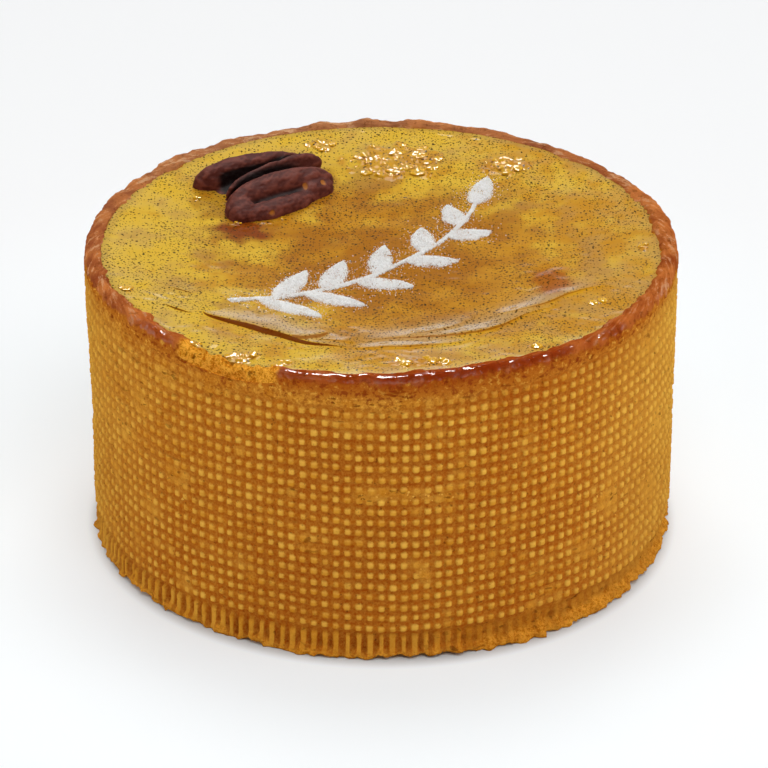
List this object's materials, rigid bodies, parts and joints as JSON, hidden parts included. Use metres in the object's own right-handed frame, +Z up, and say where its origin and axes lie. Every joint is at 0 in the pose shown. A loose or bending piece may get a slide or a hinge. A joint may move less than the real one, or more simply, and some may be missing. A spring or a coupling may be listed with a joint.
{
  "type": "custard flan",
  "caption": "Tall round custard flan: a straight shortcrust shell with a dotted liner pattern, glazed vanilla custard to just under the rim, and a pecan half pressed into the top.",
  "frame": {"origin": "middle of the flat underside, on the table", "axes": "+Z up, -Y towards the front that the picture shows, +X to the right of it"},
  "size_m": [0.12, 0.12, 0.0659],
  "materials": {
    "pastry": "baked shortcrust, dry and matt, egg-washed and browner at the rim",
    "custard": "baked vanilla custard with dark specks, browner in the middle, under a clear glaze",
    "pecan": "roasted pecan skin, satin",
    "glaze": "thin clear glaze, glossy",
    "icing_sugar": "sifted icing sugar, powdery"
  },
  "bodies": {
    "root": {"pastry_shell": "pastry", "custard": "custard", "pecan_half": "pecan"}
  },
  "joints": []
}
